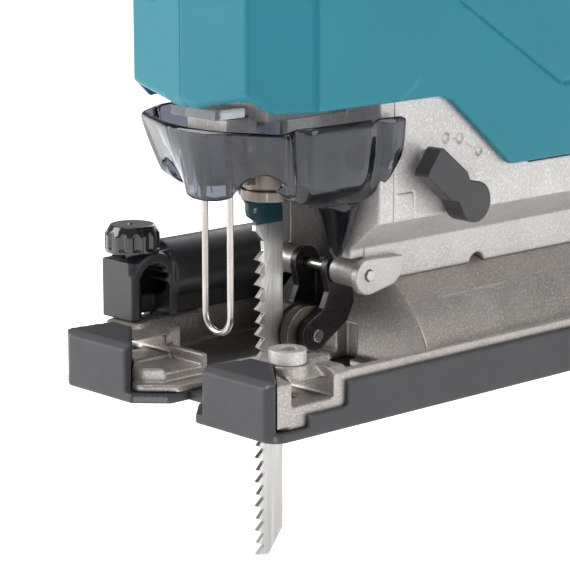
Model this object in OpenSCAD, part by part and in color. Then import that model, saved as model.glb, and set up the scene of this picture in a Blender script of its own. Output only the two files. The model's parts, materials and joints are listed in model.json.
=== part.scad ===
// Cordless D-handle jigsaw with a tilting base, a roller-guided blade and a dust nozzle.
// +X is the cutting direction, +Y the tool's left, +Z up.
// The origin lies on the underside of the sole, on the mid-plane, behind the blade window.

/* [Base] */
// Length of the base
base_len = 150; // [140:1:170]
// Width over the shoe
base_w = 75.4; // [74:0.2:77]
// Height of the aluminium side rails
rail_h = 13; // [11:0.5:13]
// Thickness of the plastic shoe under the casting
shoe_t = 2.25; // [1.8:0.05:2.3]
// Half width of the blade slot in the sole
slot_half = 5; // [4:0.5:6]
// Radius of the tilting seat about the sole line
seat_r = 28.7; // [28:0.1:29]

/* [Blade] */
// Distance of the blade's centre line behind the base's front edge
blade_back = 32.75; // [30:0.25:35]
// Width of the blade
blade_w = 8; // [6:0.5:9]
// Thickness of the blade
blade_t = 1.25; // [0.9:0.05:1.5]
// Reach of the blade below the sole
blade_reach = 40.7; // [30:0.1:60]
// Tooth pitch
tooth_pitch = 3; // [2:0.5:4]

/* [Drive] */
// Stroke of the plunger
stroke = 26; // [18:1:26]
// Height of the plunger above mid stroke in the rest position
rest_lift = 5; // [0:0.5:6]
// Height of the motor axis above the sole
motor_z = 79; // [78:0.5:80]
// Gear module
gear_mod = 0.8; // [0.8:0.1:0.8]
// Teeth on the pinion
pinion_teeth = 8; // [8:1:8]
// Teeth on the crank gear
gear_teeth = 44; // [44:1:44]

/* [Body] */
// Half width of the motor housing and head
head_half = 26; // [25.6:0.1:28]
// Half width of the gear housing
gear_half = 24; // [23:0.1:24]
// Wall of the plastic shells
wall = 2; // [1.6:0.1:2.5]
// Height of the top of the handle
handle_top = 201; // [199:0.5:202]
// Half width of the handle
grip_half = 16; // [15:0.5:18]

/* [Battery] */
// Width of the battery pack
pack_w = 75; // [70:1:76]
// Depth of the battery pack
pack_d = 62; // [60:1:64]
// Height of the battery pack
pack_h = 113; // [105:1:115]

/* [Hidden] */

$fn = 64;
fit = 0.05;
gap = 0.3;

front_x = 100;
rear_x = front_x - base_len;
half_w = base_w / 2;
blade_x = front_x - blade_back;
blade_back_x = blade_x - blade_w / 2;
rail_in = 33;
rail_out = half_w - 1.25;

// Base front corner: fence channel, bridges and bumpers
bumper_back = 91.5;
fence_x = [80.8, 93.5];
fence_z = [7.4, 11.8];
bridge_x = [76, 91.2];
bridge_z = 15;
bridge_top = [25, 28.8];
bridge_in = 21.4;
bridge_out = 33.7;
horn_in = 19.7;
fence_screw_at = [87.1, 28];
nozzle_screw_x = 83.3;
window_x = [44, 72];
window_half = 15;
hump_front = 41.5;

// Roller guide
roller_at = [58, 12.7];
roller_r = 6.6;
roller_w = 7.6;
pivot_at = [50.6, 27.6];
arm_y = [4.3, 6.3];

// Gear housing section
flank_z = 41.2;
skirt = [14.6, 33.9];
skirt_foot = 14.2;
housing_front = 50;
housing_top = 121.8;
lever_at = [29.4, 44.4];

// Drive
pinion_r = gear_mod * pinion_teeth / 2;
gear_r = gear_mod * gear_teeth / 2;
crank_z = motor_z + pinion_r + gear_r + 0.15;
crank_r = stroke / 2;
yoke_z = crank_z + rest_lift;
crank_y = sqrt(crank_r * crank_r - rest_lift * rest_lift);
plunger_r = 4.5;
clamp_z = 45.8;

// Body
nose_x = 93.9;
rear_face = -98;
pack_x = rear_face - 5.6;
pack_z = 56;

module along_x(x0, x1) translate([x0, 0, 0]) rotate([90, 0, 90]) linear_extrude(x1 - x0) children();
module along_y(y0, y1) translate([0, y1, 0]) rotate([90, 0, 0]) linear_extrude(y1 - y0) children();
module rod_x(x0, x1, y, z, r) translate([x0, y, z]) rotate([0, 90, 0]) cylinder(r = r, h = x1 - x0);
module rod_y(y0, y1, x, z, r) translate([x, y1, z]) rotate([90, 0, 0]) cylinder(r = r, h = y1 - y0);
module rod_z(z0, z1, x, y, r) translate([x, y, z0]) cylinder(r = r, h = z1 - z0);
module box(a, b) translate(a) cube(b - a);
module both() { children(); mirror([0, 1, 0]) children(); }
module tube_x(x0, x1, y, z, r, bore) difference() {
    rod_x(x0, x1, y, z, r);
    rod_x(x0 - 1, x1 + 1, y, z, bore);
}

// ---- base ----
module half_sole(edge, nose) polygon([
    [front_x - nose, slot_half + 6.5], [front_x - nose, edge - 3.4],
    [front_x - nose - 1.3, edge - 1.1], [front_x - nose - 3.4, edge],
    [rear_x + 4, edge], [rear_x, edge - 4], [rear_x, 0], [window_x[0], 0],
    [window_x[0], window_half], [window_x[1], window_half], [window_x[1] + 3, slot_half],
    [front_x - nose - 6.5, slot_half]]);

module fence_channel() box([fence_x[0], -50, fence_z[0]], [fence_x[1], 50, fence_z[1]]);

module base_plate() color("silver") difference() {
    union() {
        both() translate([0, 0, shoe_t + fit]) linear_extrude(4 - shoe_t) half_sole(rail_out - fit, 2.5);
        both() along_x(rear_x + 4, 76) polygon([[rail_in, 3], [rail_in, rail_h - 1.2],
            [rail_in + 1, rail_h], [rail_out - fit, rail_h], [rail_out - fit, 3]]);
        both() box([73.5, horn_in, 3], [fence_x[1], rail_out - fit, fence_z[0]]);
        both() horn();
        intersection() {
            rod_x(rear_x + 5, hump_front, 0, 0, seat_r);
            box([rear_x, -27.6, 3], [hump_front, 27.6, 40]);
        }
        box([rear_x + 0.5, -rail_in, 3], [rear_x + 6, rail_in, 6.8]);
    }
    both() bumper_form(gap, shoe_t);
    fence_channel();
    rod_z(0, 20, fence_screw_at[0], fence_screw_at[1], 2.05);
    rod_z(0, 20, nozzle_screw_x, nozzle_y, 2.05);
    both() box([36.5, 30, 4], [60, rail_in + 1.9, 20]);
    difference() {
        rod_x(rear_x + 9, hump_front - 4, 0, 0, seat_r - 4);
        box([rear_x, -40, 0], [front_x, 40, 4]);
    }
    box([window_x[0] - 6, -3.4, 2], [window_x[0] + 1, 3.4, 12]);
    bevel_slot();
}

// Each front horn carries a bridge over the rip fence channel, and reaches round the bumper.
module horn() {
    along_x(bridge_x[0], fence_x[0]) polygon([[bridge_in, 7], [bridge_in, 12.7], [bridge_top[0], bridge_z],
        [bridge_top[1], bridge_z], [30.4, 14], [34.3, 14], [rail_out - fit, 12.7], [rail_out - fit, 7]]);
    along_x(fence_x[0] - 1, bumper_back - gap) polygon([[bridge_in - 1.4, fence_z[1]],
        [bridge_top[0], bridge_z], [bridge_top[1], bridge_z], [bridge_out, fence_z[1]]]);
    rod_z(fence_z[1], bridge_z, fence_screw_at[0], fence_screw_at[1], 5);
    along_x(fence_x[1], front_x - 1.9) polygon([[29, 3], [29, 14], [31, 14], [rail_out - fit, 12.9],
        [rail_out - fit, 3]]);
    along_x(88.6, fence_x[1] + 1.5) polygon([[horn_in, 3], [horn_in, 9.3], [24, 13], [29, 13], [29, 3]]);
    translate([0, 0, 3]) linear_extrude(3.5) horn_plan(fence_x[0] - 1.8);
    translate([0, 0, 3]) linear_extrude(fence_z[0] - 3) horn_plan(91.6);
    box([fence_x[0] - 1.8, 8.4, 3], [fence_x[0], bridge_in + 1, 9.2]);
}
module horn_plan(back) intersection() {
    polygon([[70, 8.2], [91.3, 8.8], [95, 12.5], [96, 15.5], [96, 20.5], [70, 20.5]]);
    translate([back, 0]) square(50);
}

// The clamp bolt passes through a slot across the seat, so that the body can tilt.
module bevel_slot() {
    intersection() {
        box([-34.1, -22.8, 5], [-25.9, 22.8, 40]);
        rod_x(-35, -25, 0, 0, 32);
    }
    box([-38, -8, -1], [-22, 8, 6]);
}

module bumper_form(g, floor_z) translate([0, 0, floor_z]) linear_extrude(30) polygon([
    [front_x + g, 13.6 - g], [front_x + g, half_w - 3.4 + g], [front_x - 1.4, half_w - 1.1 + 1.4 * g],
    [bumper_back - g, 28 + g / 2], [bumper_back - g, 21 - g / 2], [front_x - 1.8, 13.6 - g]]);
module bumper() intersection() {
    along_y(12, half_w) polygon([[front_x, 0], [front_x, 12.2], [front_x - 1.8, 13.7],
        [bumper_back, 15.6], [bumper_back, 0]]);
    bumper_form(0, 0);
}

module base_shoe() color([0.2, 0.2, 0.21]) difference() {
    union() {
        both() linear_extrude(shoe_t) half_sole(half_w, 0);
        both() box([rear_x + 4, rail_out, 0], [77.5, half_w, rail_h - 2]);
        both() box([77.4, rail_out, 0], [89.5, half_w, 5.2]);
        both() bumper();
    }
    box([-38, -8, -1], [-22, 8, 6]);
    both() box([58, slot_half - 0.02, -1], [66, window_half - 1, 3]);
    for (x = [-40, 30]) for (s = [-1, 1]) rod_z(-1, 3, x, s * 30, 1.4);
}

module splinter_insert() color([0.12, 0.12, 0.13]) difference() {
    union() {
        box([74.6, -slot_half + fit, 0.1], [88, slot_half - fit, 2.2]);
        box([72.9, -2.2, 0.1], [74.7, 2.2, 2.2]);
    }
    box([70, -0.9, -1], [76.5, 0.9, 3]);
}

module fence_screw() color([0.75, 0.75, 0.77]) translate([fence_screw_at[0], fence_screw_at[1], 0])
difference() {
    union() {
        rod_z(bridge_z + fit, bridge_z + 3.2, 0, 0, 4.3);
        rod_z(fence_z[1] - 0.4, bridge_z + 1, 0, 0, 2);
    }
    translate([0, 0, bridge_z + 1.2]) cylinder(r = 2.3, h = 3, $fn = 6);
}

bolt_x = -30;
module bevel_bolt() color([0.25, 0.25, 0.27]) translate([bolt_x, 0, 0]) difference() {
    union() {
        rod_z(17, 21, 0, 0, 5);
        rod_z(20.9, 38.6, 0, 0, 3);
    }
    translate([0, 0, 16.9]) cylinder(r = 2.9, h = 2.9, $fn = 6);
}

// A curved washer bears on the inside of the seat.
module clamp_washer() color([0.6, 0.6, 0.62]) difference() {
    intersection() {
        rod_x(bolt_x - 7, bolt_x + 7, 0, 0, seat_r - 4 - fit);
        box([bolt_x - 7, -7, 21.05], [bolt_x + 7, 7, 40]);
    }
    rod_z(0, 40, bolt_x, 0, 3 + fit);
}

module clamp_nut() color([0.55, 0.55, 0.57]) difference() {
    box([-37, -7, 34.2], [-23, 7, 39]);
    rod_z(30, 40, bolt_x, 0, 3 + fit);
}

// The nozzle's intake opens towards the blade beside the fence channel.
nozzle_y = -30.5;
nozzle_z = 25.4;
module dust_nozzle() color([0.16, 0.16, 0.17]) difference() {
    union() {
        box([74, -36, bridge_z + fit], [88.4, -24.6, 26]);
        box([74, -36, 20], [82, -25.6, 31]);
        rod_y(-36, -24.6, 81.2, 23.8, 7.2);
        box([80, -36, 20], [88.4, -25.6, 29.4]);
        rod_x(-52, 75.5, nozzle_y, nozzle_z, 7.3);
        rod_x(-66, -50, nozzle_y, nozzle_z, 10.5);
        translate([-78, nozzle_y, nozzle_z]) rotate([0, 90, 0]) cylinder(r1 = 12.4, r2 = 12.8, h = 12.1);
        box([-50, -35.8, rail_h + fit], [76, -32.4, 22]);
        both_pads();
    }
    rod_y(-31, -20, 81.2, 23.8, 4.7);
    box([76.5, -31, bridge_z - 1], [85.9, -20, 23.8]);
    rod_x(-60, 72, nozzle_y, nozzle_z, 5.9);
    rod_x(70, 81, nozzle_y, 24.2, 4.6);
    rod_x(-90, -58, nozzle_y, nozzle_z, 10);
    rod_z(10, 40, nozzle_screw_x, nozzle_y, 2 + fit);
}
module both_pads() for (x = [-40, 20]) box([x, -36.2, rail_h + fit], [x + 10, -33.4, 20]);

module nozzle_screw() color([0.1, 0.1, 0.11]) translate([nozzle_screw_x, nozzle_y, 0]) {
    difference() {
        union() {
            rod_z(31.2, 35.5, 0, 0, 6.6);
            translate([0, 0, 35.4]) cylinder(r1 = 6.6, r2 = 5.3, h = 2.2);
        }
        for (i = [0:11]) rotate([0, 0, i * 30]) rod_z(32, 38, 7.3, 0, 1.3);
    }
    rod_z(bridge_z - 3.8, 31.4, 0, 0, 2);
}

// ---- gear housing ----
module housing_section() difference() {
    polygon([[-13, housing_top], [-gear_half, 106], [-gear_half, flank_z], [-skirt[0], skirt[1]],
        [-skirt_foot, 20], [skirt_foot, 20], [skirt[0], skirt[1]], [gear_half, flank_z],
        [gear_half, 106], [13, housing_top]]);
    circle(r = seat_r + 0.15, $fn = 96);
}

module gear_housing() color([0.78, 0.78, 0.78]) difference() {
    intersection() {
        along_x(-46, housing_front) housing_section();
        along_y(-40, 40) polygon([[-46, 20], [-46, 50.2], [4, 50.2], [4, housing_top],
            [housing_front, housing_top], [housing_front, 20]]);
    }
    // gear chamber, pinion way and bearing seats
    rod_x(22, housing_front + 1, 0, crank_z, 20);
    rod_x(12, housing_front + 1, 0, motor_z, 8.4);
    rod_x(13, 24, 0, crank_z, 9.2);
    rod_x(3, 13, 0, motor_z, 9.6);
    box([28, -20, crank_z - 30], [housing_front + 1, 20, crank_z]);
    // room for the guide roller's fork and its push rod
    box([36, -11, 10], [housing_front + 1, 11, 46.5]);
    rod_y(-12, 30, lever_at[0], lever_at[1], 3.05);
    box([26, -5, 40.9], [37, 5, 48]);
    // seat for the clamp nut and its bolt
    box([-38, -8, 34], [-22, 8, 42]);
    box([-34.2, -3.2, 20], [-25.8, 3.2, 35]);
    lever_marks();
    both() rod_y(10, 16, pivot_at[0], pivot_at[1], 3.5);
    rod_y(10, 17, 11, 24.8, 2.6);
    for (y = [-17, 17]) for (z = [56, 115]) rod_x(38, 51, y, z, 1.6);
}

module lever_marks() for (m = [[32.7, 59.1], [27.9, 58.6], [21.3, 55], [40, 55.6]])
    translate([m[0], gear_half + 0.7, m[1]]) sphere(r = 1.6, $fn = 24);

module gear_cover() color([0.76, 0.76, 0.77]) difference() {
    union() {
        intersection() {
            along_x(housing_front + 0.1, 54.5) housing_section();
            box([0, -40, 31.6], [60, 40, housing_top]);
        }
        box([54, -13, 66.1], [79.5, 13, 73.9]);
        box([54, -9, 118.5], [77, 9, 127.5]);
        box([77, -7, 62.4], [86, 7, 66.9]);
    }
    box([49, -11, 10], [56, 11, 46.5]);
    rod_z(50, 140, blade_x, 0, 6.5 + fit);
    rod_x(49, 60, 0, crank_z, 19.6);
    box([49, -18, 74], [60, 18, crank_z]);
    both() rod_z(50, 66, 83, 4.35, 0.85);
    for (y = [-17, 17]) for (z = [56, 115]) rod_x(48, 60, y, z, 1.6);
    rod_x(48, 60, 0, motor_z, 5);
}

module gear_screws() color([0.3, 0.3, 0.32]) for (y = [-17, 17]) for (z = [56, 115]) {
    rod_x(40, 54.6, y, z, 1.5);
    rod_x(54.55, 57, y, z, 2.8);
}

// ---- plastic shells ----
module body_side() polygon([[nose_x, 72], [91.5, 69.5], [37, 69.5], [33, 68.2], [12.3, 50.9],
    [10, 50.7], [-74, 50.7], [-84, 54], [rear_face, 54], [rear_face, 172], [-94, 186],
    [-84, 196], [-66, handle_top - 1], [-20, handle_top], [16, handle_top - 2], [38, 192],
    [56, 178], [72, 158], [84, 138], [nose_x, 116]]);

module body_side_inner() polygon([[nose_x - wall - 0.5, 68], [36.5, 68], [34.6, 68.5],
    [13, 50.2], [10.6, 49], [3.6, 49], [3.6, 52.8], [-73.5, 52.8], [-83.5, 56.2],
    [rear_face + 2.2, 56.2], [rear_face + 2.2, 122], [40, 122], [52, 130], [60, 152],
    [66, 158], [70, 156], [81.8, 137.4], [nose_x - wall - 0.5, 115.4]]);

module handle_loop() polygon([[47, 134], [37, 156], [26, 166.5], [-62, 167.5], [-74, 160],
    [-77, 136], [-70, 125], [38, 125]]);

module handle_inner() polygon([[52, 132], [42, 158], [28, 170], [-64, 171], [-78.5, 162],
    [-81.5, 134], [-81, 121.8], [rear_face + 2.2, 121.8], [rear_face + 2.2, 171.4],
    [-92, 185], [-83, 193.6], [-65.5, handle_top - 3.4], [-20, handle_top - 2.4],
    [15, handle_top - 4.4], [37, 189.6], [54, 176.4], [66, 161], [60, 152], [52.5, 131]]);

module head_plan(g) polygon([[nose_x - g, 0], [91.3 - g, 19.5 - g / 2], [75.5, head_half - g],
    [-70, head_half - g], [-84, head_half + 4 - g], [rear_face - 1, head_half + 4 - g],
    [rear_face - 1, -head_half - 4 + g], [-84, -head_half - 4 + g], [-70, -head_half + g],
    [75.5, -head_half + g], [91.3 - g, -19.5 + g / 2]]);

module body_section(g) polygon([[-head_half + g, 40], [-head_half + g, 110], [-grip_half - 1 + g, 130],
    [-grip_half + g, 134], [-grip_half + g, 210], [grip_half - g, 210], [grip_half - g, 134],
    [grip_half + 1 - g, 130], [head_half - g, 110], [head_half - g, 40]]);

module shell_outer() {
    intersection() {
        along_y(-head_half, head_half) body_side();
        linear_extrude(220) head_plan(0);
        along_x(-84, front_x) body_section(0);
    }
    intersection() {
        along_y(-head_half - 4, head_half + 4) body_side();
        linear_extrude(176) head_plan(0);
        box([rear_face, -40, 53], [-69.9, 40, 176]);
    }
    intersection() {
        along_y(-grip_half, grip_half) body_side();
        box([rear_face, -40, 170], [-83.9, 40, 210]);
    }
}

module shell_solid() difference() {
    shell_outer();
    along_y(-60, 60) handle_loop();
    intersection() {
        along_y(-head_half - 2, head_half + 2) body_side_inner();
        linear_extrude(122.1) head_plan(wall - 0.3);
        along_x(-80.5, front_x) body_section(wall - 0.2);
    }
    intersection() {
        along_y(-head_half - 2, head_half + 2) body_side_inner();
        linear_extrude(122) head_plan(wall - 0.3);
        box([rear_face, -40, 50], [-72, 40, 122]);
    }
    intersection() {
        along_y(-grip_half + wall, grip_half - wall) body_side_inner();
        box([40, -30, 121], [95, 30, 162]);
    }
    along_y(-grip_half + wall, grip_half - wall) handle_inner();
    battery_window();
    control_cuts();
}

module battery_window() box([rear_face - 2, -13, 66], [rear_face + 3, 13, 116]);

trigger_x = [10, 34];
module control_cuts() {
    box([trigger_x[0] - gap, -5.5, 160], [trigger_x[1] + gap, 5.5, 172]);
    rod_y(-20, 20, 30, 181, 4.6);
    box([-60.4, -6.4, 190], [-44, 6.4, 205]);
    box([81, -8, 66], [90.5, 8, 71]);
}
module lever_recess() translate([0, 0, 93]) linear_extrude(17) polygon([[97, -9], [89.2, -9],
    [87.6, -18.8], [73.4, -24.2], [74, -32], [97, -32]]);

module shell_bosses() {
    for (p = [[-60, 112], [-10, 114], [26, 113]]) rod_y(0.1, 24.4, p[0], p[1], 3.2);
    for (p = [[-76, 180], [46, 171]]) rod_y(0.1, grip_half - 1.9, p[0], p[1], 3.2);
    for (x = [-50, -20]) difference() {
        box([x, 0.1, 52.5], [x + 2, 24.5, 106]);
        rod_x(x - 1, x + 3, 0, motor_z, 22.3);
    }
}

module half_shell() difference() {
    union() {
        intersection() {
            shell_solid();
            box([-150, fit, 0], [150, 60, 220]);
        }
        difference() {
            shell_bosses();
            box([0, -1, 50], [60, 60, 127]);
        }
    }
    for (p = [[-60, 112], [-10, 114], [-76, 180], [46, 171]]) rod_y(-1, 22, p[0], p[1], 1.25);
}

module housing_left() color([0.0, 0.53, 0.6]) half_shell();
module housing_right() color([0.0, 0.53, 0.6]) difference() {
    union() {
        mirror([0, 1, 0]) half_shell();
        for (x = [-58, -22]) box([x, -head_half - 3.6, 57.4], [x + 6, -head_half + 0.5, 62.6]);
    }
    rod_x(-80, 0, -head_half - 1.8, 60, 1.55);
    lever_recess();
    for (p = [[-60, 112], [-10, 114]]) rod_y(-40, -19, p[0], p[1], 2.9);
    for (p = [[-76, 180], [46, 171]]) rod_y(-40, -12, p[0], p[1], 2.9);
}

module housing_screws() color([0.25, 0.25, 0.26]) {
    for (p = [[-60, 112], [-10, 114]]) screw_y(p, 19, 1.2);
    for (p = [[-76, 180], [46, 171]]) screw_y(p, 12, 1.2);
}
module screw_y(p, y, r) {
    rod_y(-y, 11, p[0], p[1], r);
    rod_y(-y - 2.4, -y - 0.02, p[0], p[1], 2.8);
    rod_y(-y - 0.1, -y + 0.1, p[0], p[1], r);
}

module grip_overmould() color([0.13, 0.13, 0.14]) both() difference() {
    along_y(grip_half + fit, grip_half + 1.6) difference() {
        polygon([[-78, 176.4], [-76, 186], [-66, 194], [-20, 197], [12, 195], [30, 189], [44, 177],
            [38, 168], [28, 172], [-60, 172], [-66, 176.4]]);
        translate([30, 181]) circle(r = 6);
        translate([-76, 180]) circle(r = 4);
    }
}

// ---- dust cover and wire guard ----
module cover_slice(z, s) translate([0, 0, z]) linear_extrude(0.05) polygon(s);
module cover_form(g) union() {
    hull() {
        cover_slice(66.4, [for (p = cover_top) [p[0] - g, p[1]]]);
        cover_slice(66.4, [[90.6 - g, 12 - g], [82 - g, 26.8 - g], [49.5, 26.8 - g],
            [49.5, -26.8 + g], [82 - g, -26.8 + g], [90.6 - g, -12 + g]]);
        cover_slice(50, [[90 - g, 9 - g], [78 - g, 21 - g], [50.6, 24.5 - g],
            [50.6, -24.5 + g], [78 - g, -21 + g], [90 - g, -9 + g]]);
    }
}
cover_top = [[92, 0], [90.6, 11], [90.6, -11]];
module dust_cover() color([0.35, 0.36, 0.42, 0.55]) difference() {
    union() {
        cover_form(0);
        translate([0, 0, 47.6]) linear_extrude(3.5) polygon([[89.9, -8.5], [89.9, 8.5], [79, 8.5], [79, -8.5]]);
        both() spout();
    }
    difference() {
        translate([0, 0, 0.03]) cover_form(1.7);
        box([77, -10, 40], [81, 10, 51]);
    }
    translate([0, 0, 40]) linear_extrude(11.5) polygon([[88.2, -6.8], [88.2, 6.8], [80.7, 6.8], [80.7, -6.8]]);
    box([52, -10.2, 40], [79.2, 10.2, 60]);
    box([40, -30, 40], [52.4, 30, 49.9]);
    box([40, -24.25, 40], [54.9, 24.25, 70]);
    both() hull() {
        cover_slice(33, [[56, 11.6], [58, 11.6], [58, 12.4], [56, 12.4]]);
        cover_slice(52, [[56.5, 12.2], [63, 12.2], [63, 20.4], [56.5, 20.4]]);
    }
}
module spout() hull() {
    cover_slice(31.5, [[54.9, 10.6], [59.2, 10.6], [59.2, 13.3], [54.9, 13.3]]);
    cover_slice(50.5, [[54.9, 11], [64.6, 11], [64.6, 22], [54.9, 22]]);
}

module wire_guard() color([0.72, 0.68, 0.64]) {
    both() rod_z(20.6, 65.6, 83, 4.35, 0.8);
    intersection() {
        translate([83, 0, 20.65]) rotate([0, 90, 0]) rotate_extrude() translate([4.35, 0]) circle(r = 0.8);
        box([80, -8, 12], [86, 8, 20.65]);
    }
}

// ---- plunger and blade ----
module plunger() color([0.62, 0.62, 0.64]) difference() {
    rod_z(57.7, 144, blade_x, 0, plunger_r);
    box([40, -10, yoke_z - 5.2], [blade_x - 2.4, 10, yoke_z + 5.2]);
}

module yoke_plate() color([0.5, 0.5, 0.52]) difference() {
    box([59.5, -19, yoke_z - 5.1], [blade_x - 2.45, 19, yoke_z + 5.1]);
    box([58, -16.2, yoke_z - 3.08], [64.2, 16.2, yoke_z + 3.08]);
    box([50, -12, yoke_z - 3.08], [66, 12, yoke_z + 3.08]);
}

module plunger_bushings() color([0.75, 0.6, 0.32]) for (z = [[66.3, 73.7], [119, 127]]) difference() {
    rod_z(z[0], z[1], blade_x, 0, 6.5);
    rod_z(z[0] - 1, z[1] + 1, blade_x, 0, plunger_r + fit);
}

module blade_clamp() color([0.5, 0.5, 0.51]) difference() {
    rod_z(clamp_z + 0.4, 57.6, blade_x, 0, 4.7);
    box([blade_back_x - 2, -blade_t / 2 - fit, 40], [blade_x + 4.1, blade_t / 2 + fit, 57]);
}

module clamp_ring() color([0.56, 0.48, 0.4]) difference() {
    union() {
        rod_z(clamp_z, clamp_z + 2.6, blade_x, 0, 6.4);
        rod_z(clamp_z + 2.5, 56, blade_x, 0, 5.9);
        box([blade_x, -2, 50], [blade_x + 8.6, 2, 55]);
    }
    rod_z(40, 60, blade_x, 0, 4.8);
}

// Blade: a straight back, teeth on the front edge, a shoulder and a T shank.
teeth = floor((blade_reach + 34) / tooth_pitch);
module blade() color([0.7, 0.7, 0.7]) along_y(-blade_t / 2, blade_t / 2) {
    blade_side();
    difference() {
        translate([blade_x, 0]) polygon([[2.9, 40.4], [4, 40.7], [6.4, 42.3], [6.8, 43.6], [6.8, 45.6], [2.9, 45.6]]);
        translate([blade_x + 4.5, 43.4]) circle(r = 0.75, $fn = 24);
    }
}
module blade_side() polygon(concat(
    [[blade_x + 0.6, -blade_reach], [blade_back_x, -blade_reach + 6], [blade_back_x, 43],
        [blade_x - 3, clamp_z + 1], [blade_x - 3, 56], [blade_x + 3, 56], [blade_x + 3, clamp_z + 1],
        [blade_x + 4.1, 43.6], [blade_x + 4.6, 38.6], [blade_x + 2, 36]],
    [for (i = [teeth:-1:0]) for (k = [0, 1]) [blade_x + (k == 0 ? 1.8 : blade_w / 2),
        -blade_reach + i * tooth_pitch + (k == 0 ? 2.4 : 0.4)]]));

module release_lever() color([0.75, 0.76, 0.78]) difference() {
    translate([0, 0, 93.5]) linear_extrude(16) polygon([[91.6, -9.6], [89.4, -9.6], [88.9, -18.8],
        [76, -24.3], [74.6, -24.9], [74.6, -25.8], [76.2, -25.8], [90.9, -19.6]]);
    rod_z(90, 115, 76, -25, 0.45);
}

// ---- roller guide ----
module arm_outline() difference() {
    union() {
        translate(pivot_at) circle(r = 4);
        polygon([[46.6, 28], [54.4, 26.5], [53.4, 22.4], [55.2, 18.6], [60.6, 15.8], [56, 9.3],
            [47.4, 14.6], [45.2, 19]]);
        translate(roller_at) circle(r = 3.9);
    }
    translate(pivot_at) circle(r = 1.3);
    translate(roller_at) circle(r = 1.6 + fit);
}
module roller_arm() color([0.1, 0.1, 0.1]) {
    both() along_y(arm_y[0], arm_y[1]) arm_outline();
    box([45.9, -arm_y[0] - 0.1, 16.4], [47.9, arm_y[0] + 0.1, 25.4]);
}

module roller() color([0.45, 0.4, 0.35]) difference() {
    union() {
        rod_y(-roller_w / 2, -1, roller_at[0], roller_at[1], roller_r);
        rod_y(-1.1, 1.1, roller_at[0], roller_at[1], blade_back_x - roller_at[0] - 0.05);
        rod_y(1, roller_w / 2, roller_at[0], roller_at[1], roller_r);
    }
    rod_y(-10, 10, roller_at[0], roller_at[1], 1.6 + fit);
}

module roller_pin() color([0.6, 0.57, 0.52]) {
    rod_y(-6.9, 6.5, roller_at[0], roller_at[1], 1.6);
    rod_y(6.4, 7.6, roller_at[0], roller_at[1], 1.5);
    rod_y(6.35, 7.5, roller_at[0], roller_at[1], 1.55);
}

module pivot_pin() color([0.5, 0.5, 0.5]) rod_y(-17.4, 17.4, pivot_at[0], pivot_at[1], 1.25);

module roller_bracket() color([0.85, 0.85, 0.84]) both() difference() {
    union() {
        along_y(14.75, 16.9) union() {
            translate([pivot_at[0], pivot_at[1] - 0.4]) circle(r = 4.3);
            polygon([[50, 31.5], [39.6, 31.1], [39.2, 27.4], [40.6, 25.8], [42.4, 24.4], [50, 22.9]]);
        }
        rod_y(6.6, 14.8, pivot_at[0], pivot_at[1], 3.4);
    }
    rod_y(0, 20, pivot_at[0], pivot_at[1], 1.25 + fit);
}

module orbit_cam() color([0.6, 0.6, 0.62]) difference() {
    rod_y(-10, 25, lever_at[0], lever_at[1], 3);
    box([lever_at[0] + 1.2, -4, 30], [lever_at[0] + 5, 4, 60]);
}

lever_len = 18;
lever_tilt = 38;
module orbit_lever() color([0.12, 0.12, 0.12]) translate([lever_at[0], 0, lever_at[1]])
rotate([0, -lever_tilt, 0]) {
    rod_y(25.1, 31, 0, 0, 4.9);
    box([1, 26.3, -3.9], [lever_len, 31, 3.9]);
}

// ---- motor and gear train ----
module motor_stator() color([0.35, 0.35, 0.37]) difference() {
    rod_x(-52, -20, 0, motor_z, 22);
    rod_x(-60, 0, 0, motor_z, 12.6);
    for (i = [0:5]) translate([0, 0, motor_z]) rotate([i * 60 + 30, 0, 0])
        box([-60, -2.6, 11], [0, 2.6, 18.5]);
}

module motor_rotor() color([0.6, 0.6, 0.62]) {
    rod_x(-51, -21, 0, motor_z, 12.1);
    rod_x(-66, 42, 0, motor_z, 2.48);
    difference() {
        rod_x(30, 41.5, 0, motor_z, pinion_r);
        rod_x(29, 43, 0, motor_z, 2.47);
    }
}

module motor_fan() color([0.16, 0.16, 0.17]) difference() {
    union() {
        rod_x(-15, -13.4, 0, motor_z, 19.5);
        rod_x(-15, -6, 0, motor_z, 5);
        for (i = [0:10]) translate([0, 0, motor_z]) rotate([i * 360 / 11, 0, 0])
            box([-14, -0.7, 4.4], [-6.5, 0.7, 19]);
    }
    rod_x(-20, 0, 0, motor_z, 2.5);
}

module motor_bearings() color([0.8, 0.8, 0.82]) {
    tube_x(4.5, 11.5, 0, motor_z, 9.5, 2.5);
    tube_x(-64.5, -58.5, 0, motor_z, 8, 2.5);
}

module crank_gear() color([0.55, 0.52, 0.5]) difference() {
    union() {
        rod_x(32, 40, 0, crank_z, gear_r - gear_mod * 0.3);
        rod_x(14, 32.1, 0, crank_z, 4);
        rod_x(39.9, 59.1, crank_y, yoke_z, 1.9);
        rod_x(40, 45, 0, crank_z, 6);
    }
    for (i = [0:5]) translate([0, 0, crank_z]) rotate([i * 60 + 22.6, 0, 0])
        rod_x(30, 39, 0, -11.4, 2.6);
}

module crank_bearing() color([0.8, 0.8, 0.82]) tube_x(14.5, 21.5, 0, crank_z, 9.15, 4 + 0.02);

module crank_roller() color([0.7, 0.7, 0.72]) tube_x(55.2, 59.1, crank_y, yoke_z, 3, 1.95);

module counterweight() color([0.4, 0.4, 0.42]) along_x(24.4, 29.4) translate([0, crank_z]) difference() {
    polygon([[-6, -14.8], [6, -14.8], [12, -8], [12, 4], [7, 11], [-7, 11], [-12, 4], [-12, -8]]);
    translate([-4.3, -11.7]) square([8.6, 19.4]);
}

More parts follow.
